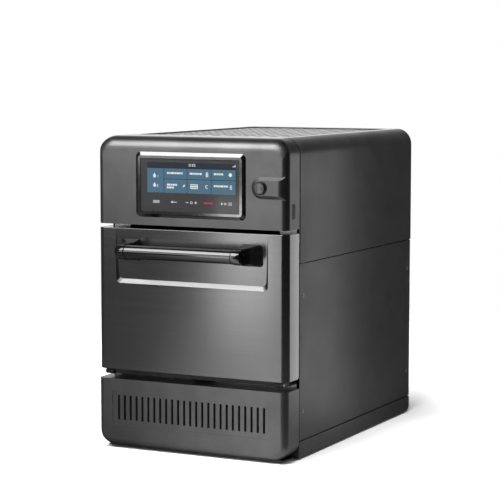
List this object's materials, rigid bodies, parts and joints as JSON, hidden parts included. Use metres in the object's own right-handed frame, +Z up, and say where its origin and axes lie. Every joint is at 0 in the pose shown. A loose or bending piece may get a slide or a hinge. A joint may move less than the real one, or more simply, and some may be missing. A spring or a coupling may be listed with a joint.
{
  "type": "speed oven",
  "caption": "Tall countertop speed oven with a drop-down door, bar handle, touch display, push button and intake grille, holding a lined cavity, hot air blower and microwave parts.",
  "frame": {"origin": "on the floor under the middle of the oven's whole box, handle and cable gland included", "axes": "+X to the right as seen by the user, +Y from the door to the back, +Z up"},
  "size_m": [0.4, 0.672, 0.599],
  "materials": {
    "black_steel": "fine satin black powder coat",
    "fascia_steel": "fine matt dark grey powder coat",
    "door_steel": "black tinted stainless, fine vertical brush",
    "stainless": "2B stainless, satin",
    "black_metal": "gloss black",
    "handle_black": "semi gloss dark tube",
    "bright_metal": "polished stainless",
    "dark_metal": "dark plated",
    "glass": "black-bordered cover glass",
    "screen": "lit blue display",
    "rubber": "black rubber",
    "gasket": "grey woven seal",
    "plastic": "black plastic",
    "board": "green circuit board",
    "filter_mat": "knitted aluminium mesh",
    "insulation": "mineral wool",
    "ceramic": "cordierite ceramic",
    "heater": "heat-tinted tube",
    "aluminium": "drawn aluminium can"
  },
  "bodies": {
    "oven": {"feet": "rubber", "base_tray": "black_steel", "side_panel_right": "black_steel", "side_panel_left": "black_steel", "panel_screws": "bright_metal", "top_cover": "black_steel", "top_vent_panel": "black_steel", "rear_panel": "black_steel", "cable_gland": "plastic", "front_frame": "stainless", "base_fascia": "fascia_steel", "filter_frame": "plastic", "air_filter": "filter_mat", "control_fascia": "fascia_steel", "port_cover": "rubber", "display_bezel": "black_metal", "display_glass": "glass", "lcd_panel": "screen", "display_board": "board", "button_barrel": "dark_metal", "cavity": "stainless", "insulation": "insulation", "upper_jet_plate": "stainless", "stone_plate": "ceramic", "rack": "stainless", "blower_housing": "stainless", "heater_coil": "heater", "blower_motor": "dark_metal", "exhaust_duct": "stainless", "cooling_fan_frame": "plastic", "antenna_well": "stainless", "antenna_motor": "dark_metal", "waveguide": "stainless", "magnetron": "dark_metal", "hv_transformer": "dark_metal", "hv_capacitor": "aluminium", "cavity_supports": "black_steel", "electronics_shelf": "stainless", "control_board": "board", "power_board": "board", "emi_filter": "plastic", "interlock_switches": "plastic", "door_sill": "black_steel", "hinge_brackets": "black_metal", "hinge_pins": "stainless"},
    "door": {"door_skin": "door_steel", "door_inner_pan": "stainless", "door_choke": "stainless", "door_gasket": "gasket", "hinge_arms": "stainless", "latch_hooks": "stainless", "handle_bar": "handle_black", "handle_ferrules": "bright_metal", "handle_brackets": "black_metal", "handle_screws": "bright_metal"},
    "power_button": {"button_cap": "bright_metal"},
    "impeller": {"impeller": "stainless"},
    "cooling_fan": {"cooling_fan_rotor": "plastic"},
    "antenna": {"antenna": "plastic"}
  },
  "joints": [
    {"name": "door_hinge", "type": "hinge", "parent": "oven", "child": "door", "pos_m": [0, -0.268, 0.1465], "axis": [1, 0, 0], "range_deg": [0, 90]},
    {"name": "power_press", "type": "slide", "parent": "oven", "child": "power_button", "axis": [0, 1, 0], "range_m": [0, 0.0025], "stiffness_N_per_m": 900},
    {"name": "impeller_spin", "type": "hinge", "parent": "oven", "child": "impeller", "pos_m": [0, 0.1062, 0.285], "axis": [0, 1, 0], "continuous": true},
    {"name": "cooling_fan_spin", "type": "hinge", "parent": "oven", "child": "cooling_fan", "pos_m": [0, -0.213, 0.08465], "axis": [0, 1, 0], "continuous": true},
    {"name": "antenna_spin", "type": "hinge", "parent": "oven", "child": "antenna", "pos_m": [0, -0.063, 0.18], "axis": [0, 0, 1], "continuous": true}
  ]
}
